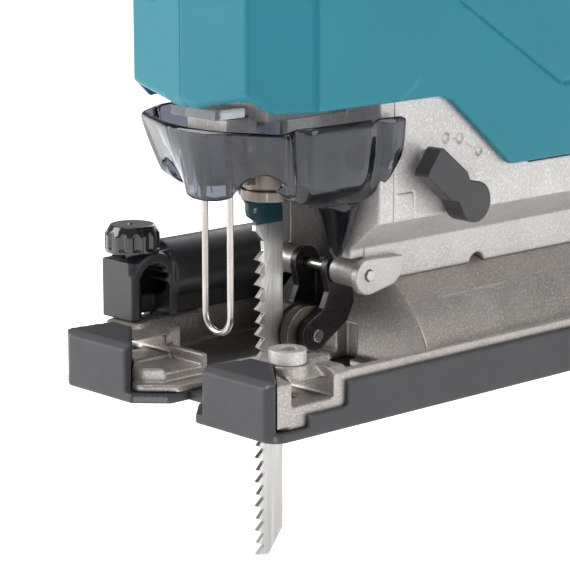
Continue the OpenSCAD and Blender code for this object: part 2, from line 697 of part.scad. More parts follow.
// ---- electrics and controls ----
module controller() color([0.1, 0.3, 0.2]) difference() {
    box([-94, -12.5, 126], [-85, 12.5, 166]);
    for (i = [0:4]) box([-95, -11, 129 + i * 7.4], [-92.5, 11, 133.5 + i * 7.4]);
}

module switch_unit() color([0.15, 0.15, 0.16]) difference() {
    union() {
        box([-14, -8, 179.5], [22, 8, 194]);
        box([10, -5, 178.2], [18, 5, 179.6]);
    }
    rod_z(177, 184, 14, 0, 2.4);
}

module trigger() color([0.15, 0.15, 0.16]) difference() {
    along_y(-5.2, 5.2) polygon([[trigger_x[0], 164.2], [trigger_x[0] + 3, 161.2], [24, 160],
        [trigger_x[1], 163.2], [trigger_x[1], 170.6], [22, 171], [20, 172.4], [trigger_x[0], 172.4]]);
    rod_z(168.4, 175, 14, 0, 2.5);
}

module trigger_spring() color([0.7, 0.7, 0.7]) for (i = [0:4]) translate([14, 0, 168.8 + i * 3.6])
    rotate_extrude() translate([1.7, 0]) circle(r = 0.3, $fn = 16);

module lock_button() color([0.12, 0.12, 0.13]) {
    rod_y(-19.4, 19.4, 30, 181, 4.3);
}

module speed_dial() color([0.1, 0.1, 0.1]) difference() {
    rod_y(-6, 6, -52.2, 193.4, 8);
    rod_y(-7, 7, -52.2, 193.4, 1.6);
}

module led_lens() color([0.9, 0.95, 0.95]) box([81.3, -7.6, 67.1], [90.2, 7.6, 69.3]);

module terminal_block() color([0.2, 0.2, 0.21]) {
    difference() {
        box([rear_face - 0.6, -12.6, 66.4], [rear_face + 12, 12.6, 115.6]);
        box([rear_face + 1, -10, 68], [rear_face + 13, 10, 114]);
    }
    both() box([rear_face - 5, -24, 62], [rear_face - 0.05, -21, 140]);
    both() box([rear_face - 5, -27, 62], [rear_face - 3.2, -24.1, 140]);
    both() box([rear_face - 6.4, 4.4, 84], [rear_face - 0.65, 5.2, 100]);
}

module hex_key() color([0.25, 0.25, 0.26]) {
    rod_x(-70, -10, -head_half - 1.8, 60, 1.5);
    rod_z(60, 76, -68.6, -head_half - 1.8, 1.5);
}

// ---- battery ----
module battery_shell() color([0.13, 0.13, 0.14]) difference() {
    box([pack_x - pack_d, -pack_w / 2, pack_z], [pack_x - 13, pack_w / 2, pack_z + pack_h]);
    box([pack_x - pack_d + 2, -pack_w / 2 + 2, pack_z + 2], [pack_x - 10, pack_w / 2 - 2, pack_z + pack_h - 2]);
}

module battery_cover() color([0.16, 0.16, 0.17]) difference() {
    union() {
        box([pack_x - 12.9, -pack_w / 2, pack_z], [pack_x - 6.6, pack_w / 2, pack_z + pack_h]);
        box([pack_x - 6.7, -20, pack_z + 4], [pack_x, 20, pack_z + pack_h - 20]);
        box([pack_x - 6.7, -30, pack_z + pack_h - 19.9], [pack_x, 30, pack_z + pack_h - 4]);
        both() box([pack_x - 6.7, 27.5, pack_z + 4], [rear_face - 0.4, 30, pack_z + pack_h - 28]);
        both() box([rear_face - 2.8, 24.5, pack_z + 4], [rear_face - 0.4, 30, pack_z + pack_h - 28]);
    }
    box([pack_x - 11, -pack_w / 2 + 2, pack_z + 2], [pack_x - 8.6, pack_w / 2 - 2, pack_z + pack_h - 2]);
    both() box([pack_x - 8, 3.6, 60], [pack_x + 1, 6, 108]);
    box([pack_x - 9.4, -9.3, pack_z + pack_h - 18], [pack_x - 0.6, 9.3, pack_z + pack_h + 1]);
}

module battery_cells() color([0.1, 0.35, 0.6]) for (i = [0:4]) for (j = [0, 1])
    rod_y(-32.5, 32.5, pack_x - pack_d + 11.8 + j * 18.8, pack_z + 14 + i * 20.6, 9.1);

module battery_latch() color([0.7, 0.08, 0.06]) box([pack_x - 9, -9, pack_z + pack_h - 12],
    [pack_x - 1, 9, pack_z + pack_h - 0.4]);

module latch_spring() color([0.7, 0.7, 0.7]) for (i = [0:3])
    translate([pack_x - 5, 0, pack_z + pack_h - 17.6 + i * 1.7])
        rotate_extrude() translate([2.2, 0]) circle(r = 0.25, $fn = 16);

base_plate();
base_shoe();
splinter_insert();
fence_screw();
bevel_bolt();
clamp_washer();
clamp_nut();
dust_nozzle();
nozzle_screw();
gear_housing();
gear_cover();
gear_screws();
housing_left();
housing_right();
grip_overmould();
housing_screws();
dust_cover();
wire_guard();
plunger();
yoke_plate();
plunger_bushings();
blade_clamp();
clamp_ring();
blade();
release_lever();
roller_arm();
roller();
roller_pin();
pivot_pin();
roller_bracket();
orbit_lever();
orbit_cam();
motor_stator();
motor_rotor();
motor_fan();
motor_bearings();
crank_gear();
crank_bearing();
crank_roller();
counterweight();
controller();
switch_unit();
trigger();
trigger_spring();
lock_button();
speed_dial();
led_lens();
terminal_block();
hex_key();
battery_shell();
battery_cover();
battery_cells();
battery_latch();
latch_spring();
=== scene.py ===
import json
import math
import bpy
import bmesh
from mathutils import Matrix, Vector


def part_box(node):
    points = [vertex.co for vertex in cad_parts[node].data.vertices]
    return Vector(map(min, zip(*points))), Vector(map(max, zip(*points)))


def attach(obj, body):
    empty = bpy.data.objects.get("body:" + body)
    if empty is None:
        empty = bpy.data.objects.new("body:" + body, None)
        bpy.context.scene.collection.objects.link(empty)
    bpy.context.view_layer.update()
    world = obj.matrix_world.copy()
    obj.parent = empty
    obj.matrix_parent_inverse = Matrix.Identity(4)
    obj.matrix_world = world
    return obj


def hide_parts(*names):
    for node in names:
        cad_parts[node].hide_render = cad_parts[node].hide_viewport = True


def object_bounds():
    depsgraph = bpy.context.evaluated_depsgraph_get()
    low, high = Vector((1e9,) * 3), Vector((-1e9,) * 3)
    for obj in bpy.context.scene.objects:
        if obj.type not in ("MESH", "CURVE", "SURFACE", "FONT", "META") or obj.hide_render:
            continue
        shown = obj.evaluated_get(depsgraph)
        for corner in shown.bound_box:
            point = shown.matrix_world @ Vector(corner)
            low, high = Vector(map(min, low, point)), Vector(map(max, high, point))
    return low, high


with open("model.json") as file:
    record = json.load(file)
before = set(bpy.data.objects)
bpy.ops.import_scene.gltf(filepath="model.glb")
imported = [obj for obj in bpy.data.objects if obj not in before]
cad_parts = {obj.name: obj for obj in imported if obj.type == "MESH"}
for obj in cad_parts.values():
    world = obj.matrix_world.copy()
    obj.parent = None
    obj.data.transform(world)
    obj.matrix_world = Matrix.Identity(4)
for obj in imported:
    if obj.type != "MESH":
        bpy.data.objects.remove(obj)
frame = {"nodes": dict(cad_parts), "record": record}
cadBox = [list(corner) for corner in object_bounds()]
print("packed model loaded,", len(frame["nodes"]), "nodes")

mm = 0.001
slotOf = {part["node"]: part["material_slot"] for part in frame["record"]["subparts"]}
bodyOf = {node: body for body, nodes in frame["record"]["behaviour"]["bodies"].items() for node in nodes}
roughVoxels = 1.0  # coarser skins while trying things


viewpoint = {"place": (0.450714, 0.419832, 0.149118), "yaw": 47.2, "down": 12.3, "focal": 156.63}


def placeCamera():
    yaw, down = math.radians(viewpoint["yaw"]), math.radians(viewpoint["down"])
    back = Vector((math.cos(yaw) * math.cos(down), math.sin(yaw) * math.cos(down), math.sin(down)))
    right = Vector((-math.sin(yaw), math.cos(yaw), 0))
    camera = bpy.data.objects.new("workshopCamera", bpy.data.cameras.new("workshopCamera"))
    bpy.context.collection.objects.link(camera)
    turn = Matrix((right, back.cross(right), back)).transposed().to_4x4()
    camera.matrix_world = Matrix.Translation(viewpoint["place"]) @ turn
    camera.data.lens = viewpoint["focal"]
    camera.data.sensor_width = 36
    camera.data.clip_start = 0.01
    bpy.context.scene.camera = camera


softboxes = [  # name, place, aimed at, width, height, watts, tint
    ("frontSoftbox", (0.62, -0.55, 0.42), (0.05, 0, 0.06), 0.45, 0.8, 7.0, (1.0, 0.98, 0.96)),
    ("sideSoftbox", (-0.25, 0.85, 0.40), (0.03, 0, 0.06), 0.5, 0.7, 3.6, (1.0, 0.98, 0.96)),
    ("topSoftbox", (0.05, 0.05, 0.95), (0.0, 0, 0.05), 0.9, 0.7, 4.5, (1.0, 1.0, 1.0)),
    ("backSoftbox", (-0.75, -0.45, 0.45), (-0.05, 0, 0.08), 0.6, 0.6, 3.0, (0.96, 0.98, 1.0)),
]


room = {"air": (0.95, 0.97, 1.0), "airGlow": 0.28, "reach": 6.0, "gap": 0.3, "floor": (0.93, 0.93, 0.935),
        "rough": 0.9, "sheen": 0.1, "glow": 0.72}


def lightStudio():
    for name, place, aim, width, height, watts, tint in softboxes:
        lamp = bpy.data.lights.new(name, "AREA")
        lamp.shape = "RECTANGLE"
        lamp.size, lamp.size_y = width, height
        lamp.energy = watts
        lamp.color = tint
        holder = bpy.data.objects.new(name, lamp)
        bpy.context.collection.objects.link(holder)
        holder.location = place
        holder.rotation_euler = (Vector(aim) - Vector(place)).to_track_quat("-Z", "Y").to_euler()
    world = bpy.data.worlds.new("paleRoom")
    world.use_nodes = True
    world.node_tree.nodes["Background"].inputs["Color"].default_value = (*room["air"], 1)
    world.node_tree.nodes["Background"].inputs["Strength"].default_value = room["airGlow"]
    bpy.context.scene.world = world
    bpy.context.scene.view_settings.view_transform = "Standard"


def layFloor():
    reach = room["reach"]
    level = cadBox[0][2] - room["gap"] * mm
    sheet = bpy.data.meshes.new("paleFloor")
    corners = [(x * reach, y * reach, level) for x, y in ((-1, -1), (1, -1), (1, 1), (-1, 1))]
    sheet.from_pydata(corners, [], [(0, 1, 2, 3)])
    floor = bpy.data.objects.new("paleFloor", sheet)
    bpy.context.collection.objects.link(floor)
    paint = bpy.data.materials.new("paleFloor")
    paint.use_nodes = True
    shader = paint.node_tree.nodes["Principled BSDF"]
    shader.inputs["Base Color"].default_value = (*room["floor"], 1)
    shader.inputs["Roughness"].default_value = room["rough"]
    shader.inputs["Specular IOR Level"].default_value = room["sheen"]
    shader.inputs["Emission Color"].default_value = (1, 1, 1, 1)
    shader.inputs["Emission Strength"].default_value = room["glow"]
    sheet.materials.append(paint)


placeCamera()
lightStudio()
layFloor()
print("camera, light and floor are set")


noiseSpan = (0.3, 0.7)  # nearly all values of a noise lie in here


def addNoise(tree, place, scale, detail=2.0, roughness=0.5, stretch=None):
    noise = tree.nodes.new("ShaderNodeTexNoise")
    noise.inputs["Scale"].default_value = scale
    noise.inputs["Detail"].default_value = detail
    noise.inputs["Roughness"].default_value = roughness
    if stretch:
        spread = tree.nodes.new("ShaderNodeMapping")
        spread.inputs["Scale"].default_value = stretch
        tree.links.new(place, spread.inputs["Vector"])
        place = spread.outputs["Vector"]
    tree.links.new(place, noise.inputs["Vector"])
    return noise.outputs["Fac"]


def remap(tree, value, fromLow, fromHigh, toLow, toHigh):
    remapper = tree.nodes.new("ShaderNodeMapRange")
    limits = {"From Min": fromLow, "From Max": fromHigh, "To Min": toLow, "To Max": toHigh}
    for name, number in limits.items():
        remapper.inputs[name].default_value = number
    tree.links.new(value, remapper.inputs["Value"])
    return remapper.outputs["Result"]


def mixColours(tree, factor, first, second):
    mixer = tree.nodes.new("ShaderNodeMix")
    mixer.data_type = "RGBA"
    tree.links.new(factor, mixer.inputs["Factor"])
    for socket, colour in ((mixer.inputs["A"], first), (mixer.inputs["B"], second)):
        if isinstance(colour, tuple):
            socket.default_value = (*colour, 1)
        else:
            tree.links.new(colour, socket)
    return mixer.outputs["Result"]


def makeFinish(name, look):
    finish = bpy.data.materials.new(name)
    finish.use_nodes = True
    tree = finish.node_tree
    shader = tree.nodes["Principled BSDF"]
    place = tree.nodes.new("ShaderNodeTexCoord").outputs["Object"]
    for socket, value in look.get("sockets", {}).items():
        shader.inputs[socket].default_value = value
    mottle = addNoise(tree, place, look.get("mottleScale", 60), 4.0)
    patches = remap(tree, mottle, *noiseSpan, 0, 1)
    colour = mixColours(tree, patches, look["colour"], look.get("shade", look["colour"]))
    if "fleck" in look:
        grains = addNoise(tree, place, look["fleckScale"], 1.0)
        flecks = remap(tree, grains, look.get("fleckFrom", 0.58), 0.72, 0, 1)
        colour = mixColours(tree, flecks, colour, look["fleck"])
    # lightens sharp edges by pointiness: edge wear plus a painted edge highlight
    if "edgeWearAndHighlight" in look:
        shape = tree.nodes.new("ShaderNodeNewGeometry")
        edges = remap(tree, shape.outputs["Pointiness"],
                      look.get("edgeWearAndHighlightFrom", 0.53), 0.62, 0, look.get("edgeWearAndHighlightBy", 0.5))
        colour = mixColours(tree, edges, colour, look["edgeWearAndHighlight"])
    # darkens hollows and creases by pointiness: painted shade
    if "hollowShade" in look:
        shape = tree.nodes.new("ShaderNodeNewGeometry")
        corners = remap(tree, shape.outputs["Pointiness"], 0.47, 0.40, 0, look.get("hollowShadeBy", 0.6))
        colour = mixColours(tree, corners, colour, look["hollowShade"])
    tree.links.new(colour, shader.inputs["Base Color"])
    low, high = look["rough"]
    grain = addNoise(tree, place, 220, 3.0)
    tree.links.new(remap(tree, grain, *noiseSpan, low, high), shader.inputs["Roughness"])
    normal = None
    for scale, depth, strength, stretch in look.get("bumps", []):
        bump = tree.nodes.new("ShaderNodeBump")
        bump.inputs["Distance"].default_value = depth * mm
        bump.inputs["Strength"].default_value = strength
        tree.links.new(addNoise(tree, place, scale, 2.0, stretch=stretch), bump.inputs["Height"])
        if normal:
            tree.links.new(normal, bump.inputs["Normal"])
        normal = bump.outputs["Normal"]
    if normal:
        tree.links.new(normal, shader.inputs["Normal"])
    return finish


# the dirt colour darkens hollows and creases: painted shade
# the worn colour lightens sharp edges: edge wear plus a painted edge highlight
finishLooks = {
    "teal_shell": {
        "colour": (0.0030, 0.165, 0.215), "shade": (0.0036, 0.18, 0.232), "mottleScale": 25,
        "rough": (0.40, 0.48), "bumps": [(2600, 0.02, 0.35, None)],
        "edgeWearAndHighlight": (0.03, 0.30, 0.36), "edgeWearAndHighlightBy": 0.3, "sockets": {"Specular IOR Level": 0.36},
    },
    "cast_silver": {
        "colour": (0.53, 0.515, 0.50), "shade": (0.46, 0.445, 0.43), "mottleScale": 90,
        "fleck": (0.68, 0.665, 0.65), "fleckScale": 2600, "fleckFrom": 0.5,
        "rough": (0.42, 0.54), "bumps": [(1900, 0.05, 0.45, None), (480, 0.04, 0.2, None)],
        "sockets": {"Metallic": 0.55}, "hollowShade": (0.25, 0.24, 0.23), "hollowShadeBy": 0.5,
    },
    "base_cast": {
        "colour": (0.40, 0.375, 0.355), "shade": (0.32, 0.30, 0.28), "mottleScale": 70,
        "fleck": (0.55, 0.52, 0.49), "fleckScale": 2200, "fleckFrom": 0.5,
        "rough": (0.38, 0.5), "bumps": [(1700, 0.05, 0.45, None), (420, 0.05, 0.2, None)],
        "sockets": {"Metallic": 0.7}, "hollowShade": (0.2, 0.19, 0.18), "hollowShadeBy": 0.6,
        "edgeWearAndHighlight": (0.60, 0.58, 0.55), "edgeWearAndHighlightFrom": 0.555, "edgeWearAndHighlightBy": 0.45,
    },
    "black_plastic": {
        "colour": (0.022, 0.022, 0.024), "shade": (0.03, 0.03, 0.032), "rough": (0.34, 0.46),
        "bumps": [(2200, 0.02, 0.4, None)], "edgeWearAndHighlight": (0.09, 0.09, 0.095), "edgeWearAndHighlightBy": 0.4,
    },
    "shoe_plastic": {
        "colour": (0.027, 0.0275, 0.031), "shade": (0.035, 0.0355, 0.039), "rough": (0.46, 0.56),
        "bumps": [(2400, 0.025, 0.5, None)], "edgeWearAndHighlight": (0.2, 0.2, 0.21), "edgeWearAndHighlightBy": 0.5,
    },
    "gloss_black": {
        "colour": (0.008, 0.008, 0.009), "shade": (0.014, 0.014, 0.015), "rough": (0.10, 0.2),
        "bumps": [(700, 0.02, 0.2, None)], "sockets": {"Coat Weight": 0.5, "Coat Roughness": 0.08},
    },
    "rubber_grip": {
        "colour": (0.018, 0.018, 0.019), "shade": (0.028, 0.028, 0.03), "rough": (0.62, 0.76),
        "bumps": [(1500, 0.08, 0.7, None)], "edgeWearAndHighlight": (0.06, 0.06, 0.065), "edgeWearAndHighlightBy": 0.4,
    },
    "bright_steel": {
        "colour": (0.50, 0.47, 0.44), "shade": (0.42, 0.395, 0.37), "mottleScale": 240,
        "rough": (0.22, 0.34),
        "bumps": [(900, 0.01, 0.3, None)], "sockets": {"Metallic": 1.0},
    },
    "blued_steel": {
        "colour": (0.030, 0.030, 0.032), "shade": (0.055, 0.052, 0.05), "mottleScale": 200,
        "rough": (0.24, 0.36), "bumps": [(1300, 0.02, 0.3, None)], "sockets": {"Metallic": 0.6},
        "edgeWearAndHighlight": (0.25, 0.24, 0.23), "edgeWearAndHighlightBy": 0.45,
    },
    "bronze_roller": {
        "colour": (0.215, 0.185, 0.16), "shade": (0.165, 0.14, 0.122), "mottleScale": 300,
        "rough": (0.3, 0.42),
        "bumps": [(1500, 0.015, 0.3, None)], "sockets": {"Metallic": 0.85}, "edgeWearAndHighlight": (0.6, 0.52, 0.45),
    },
    "sinter_steel": {
        "colour": (0.36, 0.35, 0.34), "shade": (0.25, 0.24, 0.23), "mottleScale": 350, "rough": (0.4, 0.55),
        "bumps": [(1800, 0.03, 0.4, None)], "sockets": {"Metallic": 0.9},
    },
    "bearing_steel": {
        "colour": (0.62, 0.62, 0.63), "shade": (0.5, 0.5, 0.51), "rough": (0.14, 0.24),
        "bumps": [(400, 0.01, 0.2, (1, 1, 0.05))], "sockets": {"Metallic": 1.0},
    },
    "bronze": {
        "colour": (0.62, 0.40, 0.16), "shade": (0.50, 0.31, 0.12), "rough": (0.3, 0.42),
        "bumps": [(1500, 0.02, 0.3, None)], "sockets": {"Metallic": 1.0},
    },
    "clear_lens": {
        "colour": (0.30, 0.33, 0.36), "shade": (0.26, 0.29, 0.32), "rough": (0.10, 0.18),
        "sockets": {"Transmission Weight": 0.7, "IOR": 1.49, "Specular IOR Level": 0.3},
    },
    "circuit": {
        "colour": (0.012, 0.085, 0.04), "shade": (0.02, 0.13, 0.06), "mottleScale": 500,
        "rough": (0.3, 0.42),
        "fleck": (0.5, 0.42, 0.2), "fleckScale": 900, "fleckFrom": 0.66, "bumps": [(900, 0.05, 0.4, None)],
    },
    "cell_wrap": {
        "colour": (0.02, 0.16, 0.22), "shade": (0.03, 0.19, 0.26), "rough": (0.24, 0.34),
        "bumps": [(300, 0.02, 0.3, None)],
    },
    "latch_red": {
        "colour": (0.50, 0.018, 0.012), "shade": (0.44, 0.014, 0.01), "rough": (0.34, 0.44),
        "bumps": [(2200, 0.02, 0.35, None)], "edgeWearAndHighlight": (0.7, 0.08, 0.06), "edgeWearAndHighlightBy": 0.3,
    },
    "nickel_white": {
        "colour": (0.50, 0.49, 0.475), "shade": (0.43, 0.42, 0.405), "mottleScale": 150,
        "fleck": (0.70, 0.69, 0.67), "fleckScale": 2600, "rough": (0.34, 0.46),
        "bumps": [(2000, 0.05, 0.45, None)], "sockets": {"Metallic": 0.7}, "hollowShade": (0.3, 0.29, 0.28),
    },
}

finishes = {name: makeFinish(name, look) for name, look in finishLooks.items()}


smokeLook = {"tint": (0.115, 0.125, 0.16), "cloudScale": 45, "cloudShade": 0.92, "rough": 0.05, "ior": 1.5,
             "waves": 0.02, "waveScale": 120, "waveStrength": 0.4}


def makeSmokedClear():
    finish = bpy.data.materials.new("smoke_clear")
    finish.use_nodes = True
    tree = finish.node_tree
    shader = tree.nodes["Principled BSDF"]
    place = tree.nodes.new("ShaderNodeTexCoord").outputs["Object"]
    tint = smokeLook["tint"]
    deeper = tuple(smokeLook["cloudShade"] * c for c in tint)
    cloud = remap(tree, addNoise(tree, place, smokeLook["cloudScale"]), *noiseSpan, 0, 1)
    tree.links.new(mixColours(tree, cloud, tint, deeper), shader.inputs["Base Color"])
    shader.inputs["Roughness"].default_value = smokeLook["rough"]
    shader.inputs["Transmission Weight"].default_value = 1.0
    shader.inputs["IOR"].default_value = smokeLook["ior"]
    bump = tree.nodes.new("ShaderNodeBump")
    bump.inputs["Distance"].default_value = smokeLook["waves"] * mm
    bump.inputs["Strength"].default_value = smokeLook["waveStrength"]
    tree.links.new(addNoise(tree, place, smokeLook["waveScale"], 1.0), bump.inputs["Height"])
    tree.links.new(bump.outputs["Normal"], shader.inputs["Normal"])
    return finish


# the paint starts at this height in metres and its edge is this soft, the rest is ground steel
paintBand = {"low": 0.0400, "soft": 0.00015, "colour": (0.006, 0.045, 0.062)}
groundSteel = {"colour": (0.60, 0.59, 0.575), "shade": (0.44, 0.43, 0.42), "metal": 0.95,
               "rough": (0.26, 0.40), "grindScale": 900, "grindStretch": (1.0, 1.0, 0.04),
               "scratch": 0.02, "strength": 0.4}


def makeBladeSteel():
    finish = bpy.data.materials.new("blade_steel")
    finish.use_nodes = True
    tree = finish.node_tree
    shader = tree.nodes["Principled BSDF"]
    place = tree.nodes.new("ShaderNodeTexCoord").outputs["Object"]
    axes = tree.nodes.new("ShaderNodeSeparateXYZ")
    tree.links.new(place, axes.inputs["Vector"])
    look = groundSteel
    start, soft = paintBand["low"], paintBand["soft"]
    grind = addNoise(tree, place, look["grindScale"], 3.0, stretch=look["grindStretch"])
    steel = mixColours(tree, remap(tree, grind, *noiseSpan, 0, 1), look["colour"], look["shade"])
    painted = remap(tree, axes.outputs["Z"], start - soft, start + soft, 0, 1)
    tree.links.new(mixColours(tree, painted, steel, paintBand["colour"]), shader.inputs["Base Color"])
    tree.links.new(remap(tree, painted, 0, 1, look["metal"], 0.0), shader.inputs["Metallic"])
    tree.links.new(remap(tree, grind, *noiseSpan, *look["rough"]), shader.inputs["Roughness"])
    bump = tree.nodes.new("ShaderNodeBump")
    bump.inputs["Distance"].default_value = look["scratch"] * mm
    bump.inputs["Strength"].default_value = look["strength"]
    tree.links.new(grind, bump.inputs["Height"])
    tree.links.new(bump.outputs["Normal"], shader.inputs["Normal"])
    return finish


finishes["smoke_clear"] = makeSmokedClear()
finishes["blade_steel"] = makeBladeSteel()
for node, part in frame["nodes"].items():
    for holder in part.material_slots:
        holder.material = finishes[slotOf[node]]
    if not part.material_slots:
        part.data.materials.append(finishes[slotOf[node]])
print(len(finishes), "finishes made")


def newObject(name, mesh):
    piece = bpy.data.objects.new(name, mesh)
    bpy.context.collection.objects.link(piece)
    return piece


def fromShape(name, shape):
    mesh = bpy.data.meshes.new(name)
    shape.to_mesh(mesh)
    shape.free()
    return newObject(name, mesh)


def prism(outline, axis, low, high, taper=1.0):
    toSpace = {"x": lambda p, t: (t, p[0], p[1]), "y": lambda p, t: (p[0], t, p[1]),
               "z": lambda p, t: (p[0], p[1], t)}[axis]
    middle = [sum(p[i] for p in outline) / len(outline) for i in (0, 1)]
    shrunk = [[middle[i] + (p[i] - middle[i]) * taper for i in (0, 1)] for p in outline]
    shape = bmesh.new()
    lower = [shape.verts.new([c * mm for c in toSpace(p, low)]) for p in outline]
    upper = [shape.verts.new([c * mm for c in toSpace(p, high)]) for p in shrunk]
    count = len(outline)
    shape.faces.new(lower)
    shape.faces.new(list(reversed(upper)))
    for i in range(count):
        k = (i + 1) % count
        shape.faces.new((lower[i], upper[i], upper[k], lower[k]))
    bmesh.ops.recalc_face_normals(shape, faces=shape.faces)
    return fromShape("shape", shape)


def block(low, high):
    outline = [(low[0], low[1]), (high[0], low[1]), (high[0], high[1]), (low[0], high[1])]
    return prism(outline, "z", low[2], high[2])


def rod(start, end, radius, endRadius=None, steps=48):
    start, end = Vector(start) * mm, Vector(end) * mm
    endRadius = radius if endRadius is None else endRadius
    shape = bmesh.new()
    bmesh.ops.create_cone(shape, cap_ends=True, segments=steps, radius1=radius * mm, radius2=endRadius * mm,
                          depth=(end - start).length)
    turn = (end - start).to_track_quat("Z", "Y").to_matrix().to_4x4()
    shape.transform(Matrix.Translation((start + end) / 2) @ turn)
    return fromShape("shape", shape)


def ball(centre, radius, squeeze=(1, 1, 1)):
    shape = bmesh.new()
    bmesh.ops.create_uvsphere(shape, u_segments=32, v_segments=20, radius=radius * mm)
    shape.transform(Matrix.Translation(Vector(centre) * mm) @ Matrix.Diagonal((*squeeze, 1)))
    return fromShape("shape", shape)


def arcPoints(centre, radius, start, end, steps):
    return [(centre[0] + radius * math.cos(math.radians(start + (end - start) * i / steps)),
             centre[1] + radius * math.sin(math.radians(start + (end - start) * i / steps)))
            for i in range(steps + 1)]


def joined(name, pieces):
    shape = bmesh.new()
    for piece in pieces:
        shape.from_mesh(piece.data)
        bpy.data.objects.remove(piece)
    return fromShape(name, shape)


def cadCopy(name, nodes):
    shape = bmesh.new()
    for node in nodes:
        shape.from_mesh(frame["nodes"][node].data)
    bmesh.ops.remove_doubles(shape, verts=shape.verts, dist=0.002 * mm)
    return fromShape(name, shape)


def bake(piece):
    bpy.context.view_layer.update()
    solid = piece.evaluated_get(bpy.context.evaluated_depsgraph_get())
    mesh = bpy.data.meshes.new_from_object(solid)
    piece.modifiers.clear()
    piece.data = mesh


def carve(piece, cutters):
    if cutters:
        tool = joined("cutters", cutters)
        cut = piece.modifiers.new("carve", "BOOLEAN")
        cut.operation, cut.solver, cut.object, cut.use_self = "DIFFERENCE", "EXACT", tool, True
        bake(piece)
        bpy.data.objects.remove(tool)


def reskin(piece, voxel, passes):
    skin = piece.modifiers.new("skin", "REMESH")
    skin.mode = "VOXEL"
    skin.voxel_size = voxel * roughVoxels * mm
    relax = piece.modifiers.new("relax", "SMOOTH")
    relax.factor = 0.5
    relax.iterations = passes
    bake(piece)


def dress(piece, node, others=(), finish=None, body=None):
    piece.data.materials.clear()
    piece.data.materials.append(finishes[finish or slotOf[node]])
    piece.data.shade_smooth()
    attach(piece, body or bodyOf[node])
    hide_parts(node, *others)
    return piece


def rounded(node, voxel, passes, add=(), cut=()):
    name = node.replace("_", " ").title().replace(" ", "")
    piece = cadCopy(name[0].lower() + name[1:], [node])
    if add:
        piece = joined(piece.name, [piece, *add])
    carve(piece, cut)
    reskin(piece, voxel, passes)
    return dress(piece, node)


rounded("base_plate", 0.3, 7)
rounded("base_shoe", 0.36, 5)
rounded("splinter_insert", 0.15, 3)
rounded("fence_screw", 0.12, 5)


# thin ridges over the mouth's arch, and collars round the tube
nozzleLook = {"archX": 81.2, "archZ": 23.8, "archRadius": 4.4, "from": -31.5, "to": -25.2, "ridge": 0.55,
              "tubeY": -30.5, "tubeZ": 25.4, "collars": (-64.5, -60.5, -56.5), "collar": 11.3, "wide": 1.6}


def nozzleRidges():
    look = nozzleLook
    arch = arcPoints((look["archX"], look["archZ"]), look["archRadius"], 0, 180, 6)
    ridges = [rod((x, look["from"], z), (x, look["to"], z), look["ridge"]) for x, z in arch]
    y, z = look["tubeY"], look["tubeZ"]
    return ridges + [rod((x, y, z), (x + look["wide"], y, z), look["collar"]) for x in look["collars"]]


rounded("dust_nozzle", 0.34, 5, add=nozzleRidges())
print("base pieces made")


knob = {"centre": (83.3, -30.5), "dimpleAt": 37.8, "dimple": 0.9}
rounded("nozzle_screw", 0.15, 6, cut=[ball((*knob["centre"], knob["dimpleAt"]), knob["dimple"])])


# frames are squares round the two end stops, joins are fine lines between the stops
leverMarks = {"face": 24.0, "deep": 0.45, "width": 0.55, "frames": [((46.2, 44.8), 2.9), ((19.2, 44.6), 2.9)],
              "joins": [((32.7, 59.1), (27.9, 58.6)), ((27.9, 58.6), (21.3, 55.0))]}


def strip(start, end, width, low, high):
    # a straight bar between two points of the x-z plane
    along = (Vector(end) - Vector(start)).normalized()
    side = Vector((-along.y, along.x)) * width / 2
    outline = [Vector(start) - side, Vector(end) - side, Vector(end) + side, Vector(start) + side]
    return prism([tuple(p) for p in outline], "y", low, high)


def markCuts():
    look = leverMarks
    cuts = []
    for sign in (1, -1):
        low, high = sorted((sign * (look["face"] - look["deep"]), sign * (look["face"] + 1)))
        for (x, z), half in look["frames"]:
            corners = [(x + i * half, z + k * half) for i, k in ((-1, -1), (1, -1), (1, 1), (-1, 1))]
            cuts += [strip(corners[i], corners[(i + 1) % 4], look["width"], low, high) for i in range(4)]
        if sign > 0:
            cuts += [strip(start, end, look["width"], low, high) for start, end in look["joins"]]
    return cuts


rounded("gear_housing", 0.3, 3, cut=markCuts())
rounded("gear_cover", 0.3, 4)
rounded("roller_bracket", 0.18, 4)
print("castings made")


orbitLever = {"pivot": (29.4, 44.4), "tilt": 38, "eye": 4.9, "eyeOpen": 52, "waist": 3.0, "neck": 5.2,
              "shoulder": 7.2, "paddle": 4.0, "length": 18.2, "trim": (0.6, 0.8), "under": 25.1, "top": 31.0}
paddleRelief = {"from": 5.4, "to": 20, "half": 6, "low": 24, "high": 26.4}


def leverPoints(outline):
    # from along and across the lever to x and z
    tilt = math.radians(orbitLever["tilt"])
    x, z = orbitLever["pivot"]
    return [(x + u * math.cos(tilt) - v * math.sin(tilt), z + u * math.sin(tilt) + v * math.cos(tilt))
            for u, v in outline]


def leverShape():
    look = orbitLever
    half, end, neck, shoulder = look["paddle"], look["length"], look["neck"], look["shoulder"]
    along, across = look["trim"]
    outline = arcPoints((0, 0), look["eye"], look["eyeOpen"], 360 - look["eyeOpen"], 20)
    outline += [(neck, -look["waist"]), (shoulder, -half), (end - along, -half), (end, -half + across),
                (end, half - across), (end - along, half), (shoulder, half), (neck, look["waist"])]
    return leverPoints(outline)


def makeOrbitLever():
    piece = joined("orbitLever", [prism(leverShape(), "y", orbitLever["under"], orbitLever["top"])])
    start, end, half = paddleRelief["from"], paddleRelief["to"], paddleRelief["half"]
    relief = leverPoints([(start, -half), (end, -half), (end, half), (start, half)])
    carve(piece, [prism(relief, "y", paddleRelief["low"], paddleRelief["high"])])
    reskin(piece, 0.16, 5)
    dress(piece, "orbit_lever")


makeOrbitLever()


